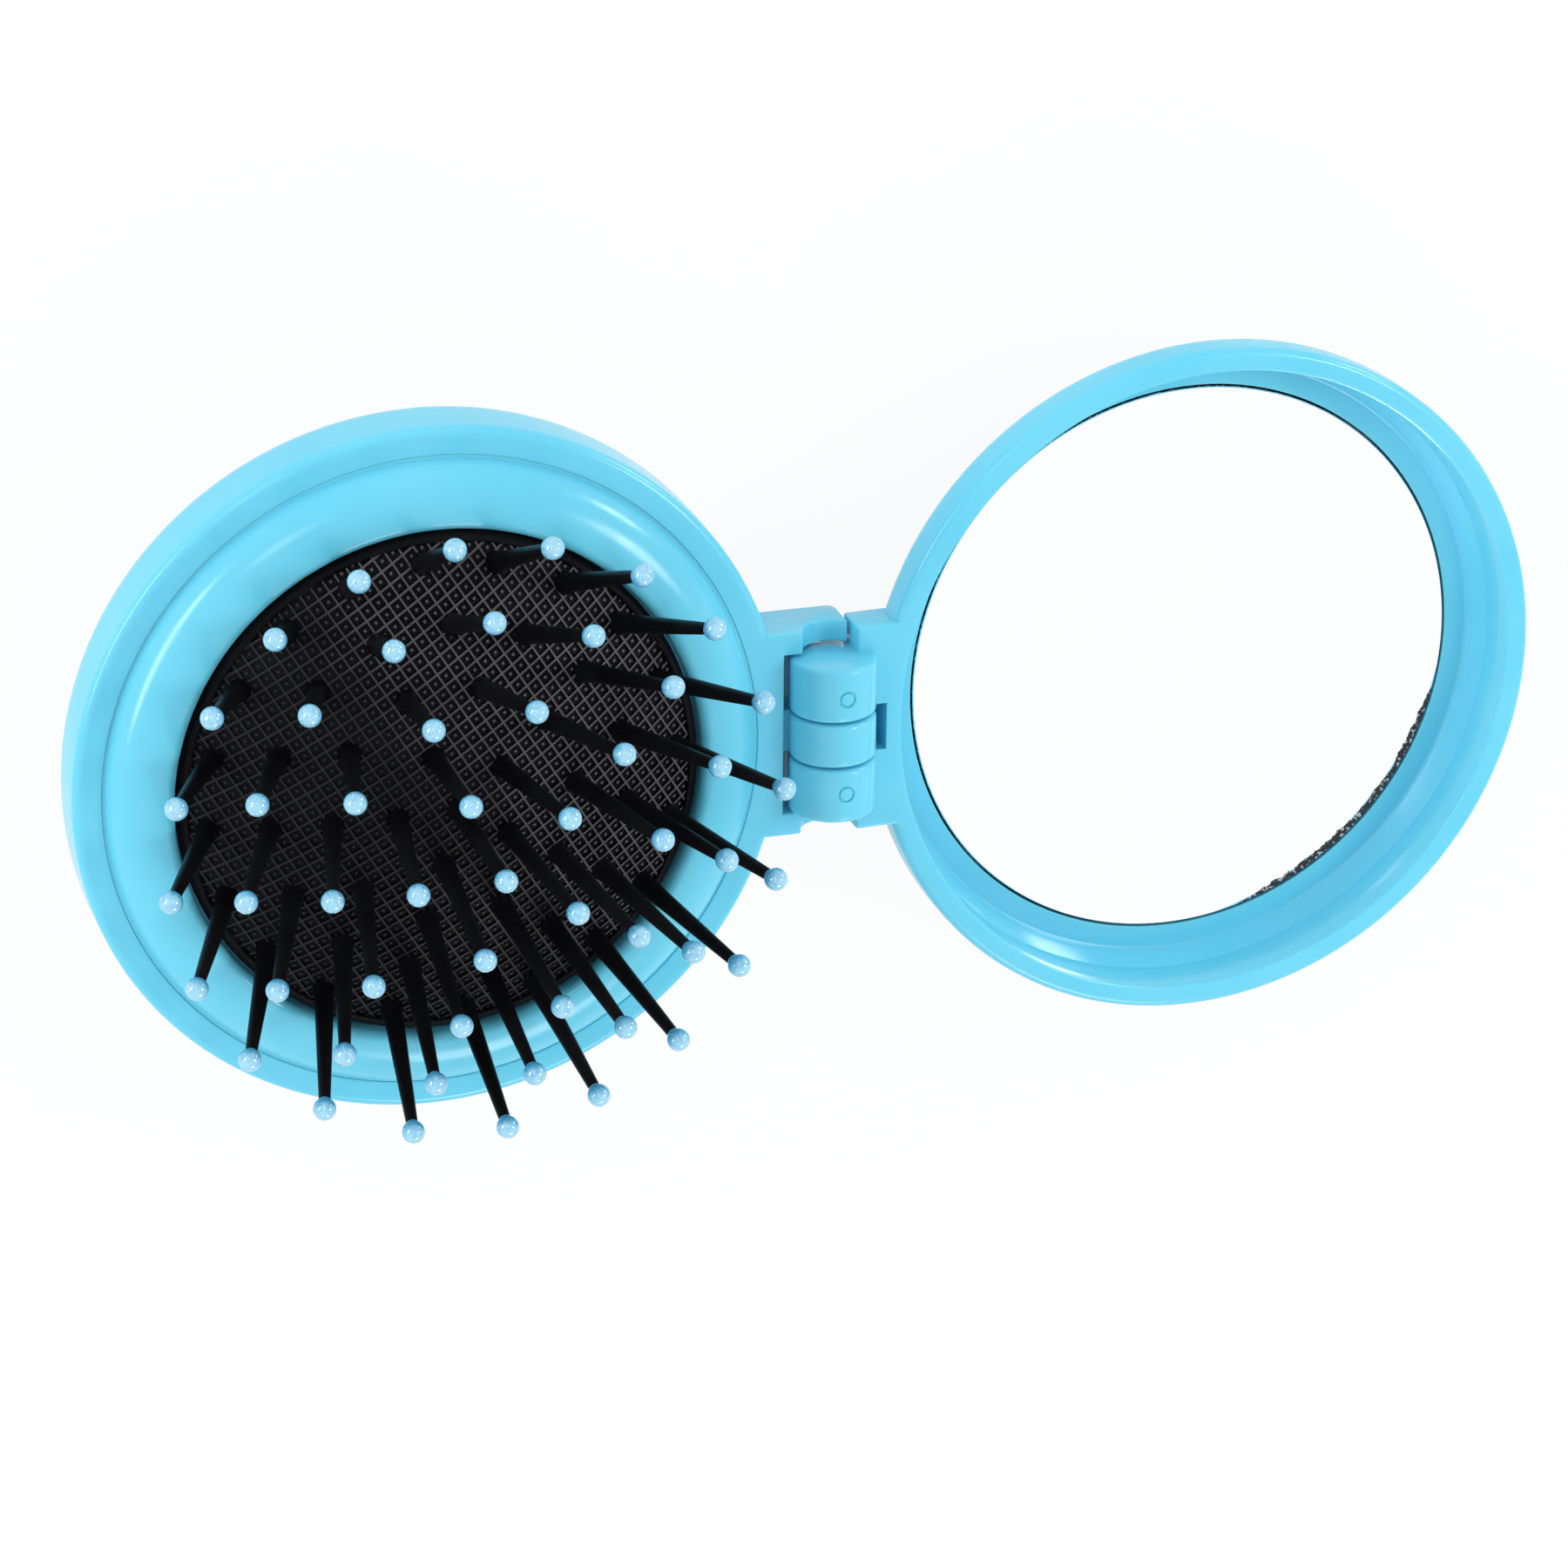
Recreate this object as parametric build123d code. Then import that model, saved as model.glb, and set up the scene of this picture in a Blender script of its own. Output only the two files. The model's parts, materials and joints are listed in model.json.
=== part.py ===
from build123d import *

import os
from math import sqrt

# Folding pocket hairbrush with a mirror lid, in millimetres.
# It lies open on the back of its brush case: +Z up, +X from the brush to the lid.
# The origin is on the base plane, straight below the middle of the hinge.

# ---- Brush case ----
case_radius = 32.5              # the lid's side is flush with it
case_height = 16.5              # base to the flat top of the rim
case_side_height = 6.0          # upright band below the rim
case_wall = 1.9
case_floor = 1.4
case_rim_round = 0.8
case_shoulder_round = 3.0
case_foot_round = 0.8
rim_width = 2.55                # side of the case to the bezel's bore
rim_bore_depth = 3.3
rim_ledge = 1.05

# ---- Bezel round the brush opening ----
groove_gap = 0.25               # visible line between rim and bezel
bezel_width = 4.8               # outer edge to crown
bezel_rise = 3.2                # crown above the rim
bezel_wall = 1.3
bezel_drop = 0.5                # where its curve starts, below the rim
opening_round = 0.9
opening_lip = 1.25              # straight wall under the rounded edge

# ---- Sliding pad: guide sleeve, carrier, push button, cushion ----
sleeve_wall = 1.3
sleeve_foot_height = 4.0
sleeve_gap = 0.5                # between the sleeve's foot and the case's wall
lip_overlap = 0.9               # how far the bezel lip reaches over the sleeve bore
slide_clearance = 0.3
flange_thickness = 0.95
carrier_plate = 1.0
carrier_depth = 2.05            # top of the flange to the underside of the plate
carrier_wall = 0.5
button_border = 5.1             # case floor between the sleeve's bore and the button's hole
button_clearance = 0.4
button_thickness = 1.6
button_round = 0.6

cushion_gap = 0.3               # round the cushion, inside the opening
cushion_border = 0.8
cushion_thickness = 1.0
cushion_edge = 0.924            # height of its upright edge
dome_rise = 6.686               # apex above the edge
seat_gap = 0.05

# ---- Pins ----
row_shares = (0.2278, 0.4641, 0.6857, 0.8992)  # of the cushion's radius
row_tilts = (7.8, 13.5, 20.8, 24.6)
row_lengths = (16.15, 15.55, 14.71, 14.66)
centre_length = 16.15
pins_per_row_step = 5
row_start_angle = 40.27
pin_root_radius = 0.92
pin_end_radius = 0.52
pin_head_radius = 1.2
pin_head_thickness = 0.5
pin_head_gap = 0.25
pin_hole_clearance = 0.08
tip_radius = 1.1
tip_socket_depth = 0.75
tip_socket_clearance = 0.03
middle_pins_per_group = 3
outer_pins_per_group = 2

# ---- Hinge ----
hinge_reach = 4.45              # axis beyond the case's side
hinge_rise = 0.245              # axis above the middle of the closed rims' gap
rim_gap = 0.1                   # between the closed rims
knuckle_radius = 3.95
case_knuckle_width = 4.1
lid_knuckle_width = 5.1
knuckle_gap = 0.25
hinge_pin_radius = 0.8
hinge_pin_cap = 0.8             # knuckle's end that covers the pin
pin_running_clearance = 0.05
pin_press_clearance = 0.01
wing_gap = 0.3                  # beside the outer knuckles
wing_thickness = 2.15
case_block_gap = 0.55           # between the knuckles and the case block's hollow end
case_block_setback = 0.8        # axis to the foot of that hollow
case_web_drop = 1.0
case_wing_reach = 1.95          # past the axis
case_wing_scoop = 2.8
case_wing_round = 0.9
lid_wing_setback = 2.35
lid_wing_depth = 4.2
lid_slot_clearance = 0.2
lid_slot_gap = 1.2              # beyond the middle knuckle
lid_slot_floor = 0.8            # left behind the slot
mark_radius = 0.85
mark_depth = 0.25
mark_inset = 2.3                # from the inner end of an outer knuckle
open_angle = 182.0

# ---- Lid ----
lid_height = 9.7
lid_side_height = 3.4
lid_taper = 4.1                 # how far the back draws in
lid_rim_round = 0.7
lid_shoulder_round = 2.5
lid_back_round = 1.5
lid_wall = 2.12
lid_back_wall = 1.21            # behind the adhesive
lid_cove_width = 1.18           # slope between the wall and the ledge
lid_cove_height = 1.94
lid_ledge_width = 2.2
mirror_thickness = 1.6
mirror_bevel = 0.2
mirror_clearance = 0.2
adhesive_inset = 3.8
adhesive_thickness = 0.2

# ---- Derived: bezel, sleeve and pad, from the side of the case inwards ----
rim_bore_radius = case_radius - rim_width
bezel_radius = rim_bore_radius - groove_gap
bezel_crown_radius = bezel_radius - bezel_width
opening_radius = bezel_crown_radius - opening_round
bezel_curve_height = case_height - bezel_drop
bezel_crown_height = case_height + bezel_rise
lip_bottom = bezel_crown_height - opening_round - opening_lip
sleeve_bore_radius = opening_radius + lip_overlap
sleeve_radius = sleeve_bore_radius + sleeve_wall
flange_radius = sleeve_bore_radius - slide_clearance
flange_top = lip_bottom - slide_clearance
carrier_bottom = flange_top - carrier_depth
button_hole_radius = sleeve_bore_radius - button_border
button_radius = button_hole_radius - button_clearance

# ---- Derived: cushion, a cap of a sphere ----
cushion_radius = opening_radius - cushion_gap
border_inner_radius = cushion_radius - cushion_border
cushion_bottom = flange_top + seat_gap
cushion_edge_height = cushion_bottom + cushion_edge
dome_apex = cushion_edge_height + dome_rise
dome_radius = (cushion_radius**2 + dome_rise**2) / (2 * dome_rise)

# ---- Derived: the case's tapered back, which clears the sleeve's foot ----
cone_top = case_height - case_side_height
step_radius = sleeve_radius + sleeve_gap
case_taper = (case_radius - case_wall - step_radius) / (cone_top - sleeve_foot_height)
case_foot_radius = step_radius + case_wall - case_taper * sleeve_foot_height

# ---- Derived: hinge ----
hinge_offset = case_radius + hinge_reach
hinge_height = case_height + rim_gap / 2 + hinge_rise
hinge_axis = Axis((0, 0, hinge_height), (0, 1, 0))
brush_x = -hinge_offset
lid_centre = Pos(brush_x, 0, case_height + rim_gap)
lid_knuckle_start = case_knuckle_width / 2 + knuckle_gap
knuckle_end = lid_knuckle_start + lid_knuckle_width
wing_inner = knuckle_end + wing_gap
hinge_block_half_width = wing_inner + wing_thickness

# ---- Derived: lid ----
lid_back_radius = case_radius - lid_taper
lid_bore_radius = case_radius - lid_wall
lid_ledge_radius = lid_bore_radius - lid_cove_width
mirror_seat_radius = lid_ledge_radius - lid_ledge_width
mirror_radius = mirror_seat_radius - mirror_clearance
adhesive_radius = mirror_radius - adhesive_inset
mirror_seat_depth = lid_height - lid_back_wall
mirror_depth = mirror_seat_depth - adhesive_thickness - mirror_thickness  # rim to mirror surface
lid_bore_depth = mirror_depth - lid_cove_height


def turned(*points, rounds=None):
    """A solid turned about Z from the corners (radius, height) of its half section."""
    radii = rounds if rounds else [0] * len(points)
    outline = FilletPolyline(*points, radius=radii, close=True) if any(radii) else Polyline(*points, close=True)
    return revolve(Plane.XZ * make_face(outline), Axis.Z)


def block(x_range, y_range, z_range):
    """A box between the given limits."""
    size = [high - low for low, high in (x_range, y_range, z_range)]
    middle = [(high + low) / 2 for low, high in (x_range, y_range, z_range)]
    return Pos(*middle) * Box(*size)


def rod(radius, x, z, y_range):
    """A cylinder along Y."""
    length = y_range[1] - y_range[0]
    return Pos(x, sum(y_range) / 2, z) * Rot(90, 0, 0) * Cylinder(radius, length)


def mirrored_pair(shape):
    """The shape and its copy on the other side of the XZ plane."""
    return shape + mirror(shape, Plane.XZ)


def dome_level(radius, depth=0.0):
    """Height of the cushion's upper surface, or of the one a depth below it."""
    sphere = dome_radius - depth
    return dome_apex - dome_radius + sqrt(sphere**2 - radius**2)


# ---- Brush case ----

def case_body():
    outside = turned(
        (0, 0), (case_foot_radius, 0), (case_radius, cone_top), (case_radius, case_height), (0, case_height),
        rounds=[0, case_foot_round, case_shoulder_round, case_rim_round, 0],
    )
    ledge_radius = rim_bore_radius - rim_ledge
    ledge_height = case_height - rim_bore_depth
    ledge_meets_cone = sleeve_foot_height + (ledge_radius - step_radius) / case_taper
    hollow = turned(
        (0, case_floor), (sleeve_bore_radius, case_floor), (sleeve_bore_radius, sleeve_foot_height),
        (step_radius, sleeve_foot_height), (ledge_radius, ledge_meets_cone), (ledge_radius, ledge_height),
        (rim_bore_radius, ledge_height), (rim_bore_radius, case_height), (0, case_height),
    )
    button_hole = Pos(0, 0, case_floor / 2) * Cylinder(button_hole_radius, case_floor)
    shell = outside + case_hinge_block()
    return Pos(brush_x, 0, 0) * (shell - hollow - button_hole) - hinge_bore(pin_running_clearance)


def case_hinge_block():
    """Block, wings and middle knuckle that grow from the case, about the case's centre."""
    low = cone_top
    inside = rim_bore_radius - rim_ledge
    half_width = hinge_block_half_width
    base = block((0, hinge_offset - case_block_setback), (-half_width, half_width), (low, case_height))
    base -= rod(knuckle_radius + case_block_gap, hinge_offset, hinge_height, (-half_width, half_width))
    wing_end = hinge_offset + case_wing_reach
    wing = block((inside, wing_end), (wing_inner, half_width), (low, case_height))
    wing = fillet(wing.edges().filter_by(Axis.Y).group_by(Axis.X)[-1].group_by(Axis.Z)[0], case_wing_round)
    wing -= rod(case_wing_scoop, hinge_offset, hinge_height, (wing_inner, half_width))
    half_knuckle = case_knuckle_width / 2
    knuckle_span = (-half_knuckle, half_knuckle)
    knuckle = rod(knuckle_radius, hinge_offset, hinge_height, knuckle_span)
    web = block((inside, hinge_offset), knuckle_span, (hinge_height - knuckle_radius, case_height - case_web_drop))
    return base + mirrored_pair(wing) + knuckle + web


def hinge_bore(clearance):
    """The hinge pin's hole through the knuckles, in the part's frame."""
    return rod(hinge_pin_radius + clearance, 0, hinge_height, (-knuckle_end, knuckle_end - hinge_pin_cap))


def case_bezel():
    """Convex ring that closes the case round the cushion."""
    width = bezel_radius - bezel_crown_radius
    height = bezel_crown_height - bezel_curve_height
    centre = (bezel_crown_radius, bezel_curve_height)
    skirt_bottom = case_height - rim_bore_depth
    inner_radius = bezel_radius - bezel_wall
    underside = bezel_crown_height - bezel_wall
    crown = EllipticalCenterArc(centre, width, height, start_angle=0, arc_size=90)
    hollow = EllipticalCenterArc(centre, width - bezel_wall, height - bezel_wall, start_angle=0, arc_size=90)
    edge_start = (opening_radius, bezel_crown_height - opening_round)
    edge = RadiusArc((bezel_crown_radius, bezel_crown_height), edge_start, -opening_round)
    lip = Polyline(
        edge_start, (opening_radius, lip_bottom), (bezel_crown_radius, lip_bottom), (bezel_crown_radius, underside)
    )
    skirt = Polyline(
        (inner_radius, bezel_curve_height), (inner_radius, skirt_bottom),
        (bezel_radius, skirt_bottom), (bezel_radius, bezel_curve_height),
    )
    section = make_face([crown, edge, lip, hollow, skirt])
    return Pos(brush_x, 0, 0) * revolve(Plane.XZ * section, Axis.Z)


def guide_sleeve():
    """Tube between the case floor's step and the bezel, in which the pad slides."""
    inner, outer = sleeve_bore_radius, sleeve_radius
    low, high = sleeve_foot_height, lip_bottom
    return Pos(brush_x, 0, 0) * turned((inner, low), (outer, low), (outer, high), (inner, high))


# ---- Sliding pad ----

def cushion_carrier():
    plate_top = carrier_bottom + carrier_plate
    wall_outer = border_inner_radius + carrier_wall
    flange_bottom = flange_top - flange_thickness
    dish = turned(
        (0, carrier_bottom), (wall_outer, carrier_bottom), (wall_outer, flange_bottom),
        (flange_radius, flange_bottom), (flange_radius, flange_top), (border_inner_radius, flange_top),
        (border_inner_radius, plate_top), (0, plate_top),
    )
    return Pos(brush_x, 0, 0) * dish


def push_button():
    low = carrier_bottom - button_thickness
    plate = turned(
        (0, low), (button_radius, low), (button_radius, carrier_bottom), (0, carrier_bottom),
        rounds=[0, button_round, 0, 0],
    )
    return Pos(brush_x, 0, 0) * plate


def cushion():
    """Rubber dome with a hole for each pin."""
    under_apex = dome_level(0, cushion_thickness)
    under_edge = dome_level(border_inner_radius, cushion_thickness)
    upper = RadiusArc((0, dome_apex), (cushion_radius, cushion_edge_height), dome_radius)
    border = Polyline(
        (cushion_radius, cushion_edge_height), (cushion_radius, cushion_bottom),
        (border_inner_radius, cushion_bottom), (border_inner_radius, under_edge),
    )
    lower = RadiusArc((border_inner_radius, under_edge), (0, under_apex), -(dome_radius - cushion_thickness))
    middle = Line((0, under_apex), (0, dome_apex))
    dome = revolve(Plane.XZ * make_face([upper, border, lower, middle]), Axis.Z)
    hole = Cylinder(pin_root_radius + pin_hole_clearance, 4 * cushion_thickness)
    holes = [place * hole for place in all_places()]
    return Pos(brush_x, 0, 0) * (dome - holes)


# ---- Pins ----

def row_place(row, index):
    """Place of a pin's root on the dome, with +Z along the pin, about the case's centre."""
    step = 360 / (pins_per_row_step * (row + 1))
    radius = row_shares[row] * cushion_radius
    turn = Rot(0, 0, row_start_angle + index * step)
    return turn * Pos(radius, 0, dome_level(radius)) * Rot(0, row_tilts[row], 0)


def row_places(row):
    """Root places of every pin in a row."""
    return [row_place(row, index) for index in range(pins_per_row_step * (row + 1))]


def centre_places():
    """Root place of the one pin on the dome's apex."""
    return [Pos(0, 0, dome_apex)]


def all_places():
    """Root places of the centre pin and of every row."""
    return centre_places() + [place for row in range(len(row_shares)) for place in row_places(row)]


def pin_shape(length):
    """Headed tapered pin with its root at the origin."""
    head_top = -(cushion_thickness + pin_head_gap)
    end = length - tip_radius + tip_socket_depth
    outline = Polyline(
        (0, head_top - pin_head_thickness), (pin_head_radius, head_top - pin_head_thickness),
        (pin_head_radius, head_top), (pin_root_radius, head_top), (pin_root_radius, 0),
        (pin_end_radius, end), (0, end), close=True,
    )
    return revolve(Plane.XZ * make_face(outline), Axis.Z)


def tip_shape(length):
    """Ball on a pin's end, with the socket that the pin fills."""
    entry = length - tip_radius
    end = entry + tip_socket_depth
    slope = (pin_root_radius - pin_end_radius) / end
    mouth_radius = pin_end_radius + slope * tip_socket_depth + tip_socket_clearance
    socket = Pos(0, 0, end - tip_radius) * Cylinder(mouth_radius, 2 * tip_radius)
    return Pos(0, 0, length) * Sphere(tip_radius) - socket


def placed(shape, places):
    """Copies of the shape, in the part's frame."""
    return [Pos(brush_x, 0, 0) * place * shape for place in places]


def group_places(row, size, first):
    """Root places of a row's pins, in groups of the given size that start at pin number first."""
    count = pins_per_row_step * (row + 1)
    starts = range(first, first + count, size)
    return [[row_place(row, start + step) for step in range(size)] for start in starts]


def pin_sets():
    """Pins and ball tips, grouped as they move together while the cushion flattens."""
    centre, first, second, third, fourth = centre_length, *row_lengths
    sets = {
        "core_pins": placed(pin_shape(centre), centre_places()) + placed(pin_shape(first), row_places(0)),
        "core_tips": placed(tip_shape(centre), centre_places()) + placed(tip_shape(first), row_places(0)),
        "inner_pins": placed(pin_shape(second), row_places(1)),
        "inner_tips": placed(tip_shape(second), row_places(1)),
    }
    middle_groups = group_places(2, middle_pins_per_group, -1)
    outer_groups = group_places(3, outer_pins_per_group, 0)
    for name, length, groups in (("middle", third, middle_groups), ("outer", fourth, outer_groups)):
        for number, places in enumerate(groups, start=1):
            sets[f"{name}_pins_{number:02d}"] = placed(pin_shape(length), places)
            sets[f"{name}_tips_{number:02d}"] = placed(tip_shape(length), places)
    return sets


# ---- Lid, modelled closed about its own centre with its rim on z = 0, then opened ----

def opened(shape):
    """Swing a piece of the closed lid to the open place."""
    return (lid_centre * shape).rotate(hinge_axis, open_angle)


def lid_shell():
    outside = turned(
        (0, 0), (case_radius, 0), (case_radius, lid_side_height), (lid_back_radius, lid_height), (0, lid_height),
        rounds=[0, lid_rim_round, lid_shoulder_round, lid_back_round, 0],
    )
    hollow = turned(
        (0, 0), (lid_bore_radius, 0), (lid_bore_radius, lid_bore_depth), (lid_ledge_radius, mirror_depth),
        (mirror_seat_radius, mirror_depth), (mirror_seat_radius, mirror_seat_depth), (0, mirror_seat_depth),
    )
    body = outside + lid_hinge_block() - hollow - lid_hinge_slot()
    return opened(body) - hinge_bore(pin_press_clearance)


def lid_hinge_block():
    """Block, wings, webs and outer knuckles that grow from the lid."""
    axis_height = hinge_height - case_height - rim_gap
    block_end = hinge_offset - lid_wing_setback
    half_width = hinge_block_half_width
    base = block((0, block_end), (-half_width, half_width), (0, lid_wing_depth))
    span = (lid_knuckle_start, knuckle_end)
    knuckle = rod(knuckle_radius, hinge_offset, axis_height, span)
    web = block((block_end, hinge_offset), span, (0, axis_height + knuckle_radius))
    mark_y = lid_knuckle_start + mark_inset
    mark_place = Pos(hinge_offset, mark_y, axis_height - knuckle_radius + mark_depth / 2)
    mark = mark_place * Cylinder(mark_radius, mark_depth)
    return base + mirrored_pair(knuckle + web - mark)


def lid_hinge_slot():
    """Room for the case's knuckle and web in the lid's block."""
    half_width = lid_knuckle_start - knuckle_gap + lid_slot_clearance
    span = (-half_width, half_width)
    far = hinge_offset - knuckle_radius - lid_slot_gap
    axis_height = hinge_height - case_height - rim_gap
    pocket = block((far, hinge_offset), span, (-lid_wing_depth, lid_wing_depth - lid_slot_floor))
    return pocket + rod(knuckle_radius + lid_slot_clearance, hinge_offset, axis_height, span)


def mirror_disc():
    low = mirror_depth
    high = mirror_depth + mirror_thickness
    glass = turned((0, low), (mirror_radius - mirror_bevel, low), (mirror_radius, low + mirror_bevel),
                   (mirror_radius, high), (0, high))
    return opened(glass)


def mirror_adhesive():
    low = mirror_depth + mirror_thickness
    return opened(Pos(0, 0, low + adhesive_thickness / 2) * Cylinder(adhesive_radius, adhesive_thickness))


def hinge_pin():
    return hinge_bore(0)


def as_solids(shape):
    """One object that holds every solid of a piece or of a list of pieces."""
    pieces = shape if isinstance(shape, list) else [shape]
    solids = [solid for piece in pieces for solid in piece.solids()]
    return solids[0] if len(solids) == 1 else Compound(children=solids)


def build():
    parts = {
        "case_body": case_body(),
        "case_bezel": case_bezel(),
        "guide_sleeve": guide_sleeve(),
        "cushion_carrier": cushion_carrier(),
        "push_button": push_button(),
        "cushion": cushion(),
        "lid_shell": lid_shell(),
        "mirror": mirror_disc(),
        "mirror_adhesive": mirror_adhesive(),
        "hinge_pin": hinge_pin(),
    }
    parts.update(pin_sets())
    return parts


os.makedirs("parts", exist_ok=True)
for node, piece in build().items():
    export_step(as_solids(piece), f"parts/{node}.step")
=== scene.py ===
"""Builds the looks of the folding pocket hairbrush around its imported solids."""

import json
import math

import bpy
from bpy.props import FloatProperty, FloatVectorProperty, PointerProperty
from bpy.types import Operator, Panel, PropertyGroup
from mathutils import Matrix, Vector

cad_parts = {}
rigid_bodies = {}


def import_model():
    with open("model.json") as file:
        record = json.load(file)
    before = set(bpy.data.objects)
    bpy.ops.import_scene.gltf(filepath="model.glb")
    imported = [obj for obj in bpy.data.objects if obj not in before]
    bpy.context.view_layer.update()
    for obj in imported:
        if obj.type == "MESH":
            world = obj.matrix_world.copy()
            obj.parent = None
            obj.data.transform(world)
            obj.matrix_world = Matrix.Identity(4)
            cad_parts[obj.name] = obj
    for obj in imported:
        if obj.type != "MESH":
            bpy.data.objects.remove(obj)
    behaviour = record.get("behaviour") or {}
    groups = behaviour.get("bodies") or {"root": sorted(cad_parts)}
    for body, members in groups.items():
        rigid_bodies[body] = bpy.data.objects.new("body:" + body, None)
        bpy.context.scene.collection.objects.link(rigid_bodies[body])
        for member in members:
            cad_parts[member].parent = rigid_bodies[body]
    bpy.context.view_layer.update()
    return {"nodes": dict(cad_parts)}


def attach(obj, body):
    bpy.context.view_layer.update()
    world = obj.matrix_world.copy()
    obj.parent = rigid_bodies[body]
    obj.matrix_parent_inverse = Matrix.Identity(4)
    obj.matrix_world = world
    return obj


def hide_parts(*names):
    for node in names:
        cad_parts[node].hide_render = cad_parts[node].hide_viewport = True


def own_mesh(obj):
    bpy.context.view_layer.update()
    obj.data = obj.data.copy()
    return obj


bl_info = {
    "name": "Folding Pocket Hairbrush",
    "version": (1, 0, 0),
    "blender": (4, 5, 0),
    "location": "3D View > Sidebar > Hairbrush",
    "description": "Models a round folding hairbrush with a mirror lid, and its studio",
    "category": "Object",
}

for leftover in list(bpy.data.objects):
    bpy.data.objects.remove(leftover)

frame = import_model()

MM = 0.001
WELD = 0.000002
SPIN_STEPS = 192
ARC_STEPS = 8
SHARP_ANGLE = math.radians(32)
# Attribute holding a ball tip's height, which drives its painted highlight and shade.
TIP_PAINTED_LIGHT = "tip_painted_light"

# Sockets of a Mix node set to colours
MIX_FACTOR, MIX_A, MIX_B, MIX_RESULT = 0, 6, 7, 2
COLOUR_SOCKETS = ("Colour", "Shade")

# Hinge, measured along its axis from the middle
CASE_BLOCK_HALF = 8.5 * MM
LID_BLOCK_HALF = 8.0 * MM
WING_SPAN = (7.7 * MM, 9.85 * MM)
CHEEK_SPAN = (7.0 * MM, 9.85 * MM)
MIDDLE_KNUCKLE_HALF = 2.05 * MM
OUTER_KNUCKLE_SPAN = (2.3 * MM, 7.4 * MM)
KNUCKLE_ROOM_HALF = 2.25 * MM
MARK_PLACE = 4.6 * MM
CASE_BORE_RADIUS, LID_BORE_RADIUS, LID_BORE_END = 0.85 * MM, 0.81 * MM, 6.6 * MM
WEB_INSET, WEB_ROUND, FACE_STEP = 0.05 * MM, 0.15 * MM, 0.01 * MM

# Rows of pins from the middle outwards: radius and length in millimetres, lean in degrees
PIN_ROWS = ((5.4, 16.15, 7.8), (11.0, 15.55, 13.5), (16.25, 14.71, 20.8), (21.31, 14.66, 24.6))
PINS_PER_ROW_STEP = 5
FIRST_PIN_TURN = 40.27
MIDDLE_GROUPS, OUTER_GROUPS = 5, 10

BEZEL_SEAT = 3.3 * MM
WAFFLE_BASE = 0.7 * MM
DOME_UNDER_WAFFLE = 0.42 * MM
DOME_BORDER_ROLL = 0.40 * MM
CUSHION_SKIN = MM

GRAIN_DEPTH = 0.02 * MM
DUST_GREY = (0.30, 0.29, 0.28, 1.0)
FLAKE_GREY = (0.55, 0.52, 0.52, 1.0)
HAZE_BLUE = (0.86, 0.90, 0.92, 1.0)


# ---- Sizes and colours that a user would change ----


def length(name, about, default):
    """A length in metres, shown in the scene's units."""
    return FloatProperty(name=name, description=about, default=default, min=0.0, unit="LENGTH", precision=5)


def angle(name, about, degrees):
    """An angle, given in degrees and kept in radians."""
    return FloatProperty(name=name, description=about, default=math.radians(degrees), subtype="ANGLE")


def colour(name, about, default):
    """A linear colour."""
    return FloatVectorProperty(name=name, description=about, default=default, min=0.0, max=1.0, subtype="COLOR")


def share(name, about, default):
    """A plain number from nothing up."""
    return FloatProperty(name=name, description=about, default=default, min=0.0)


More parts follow.
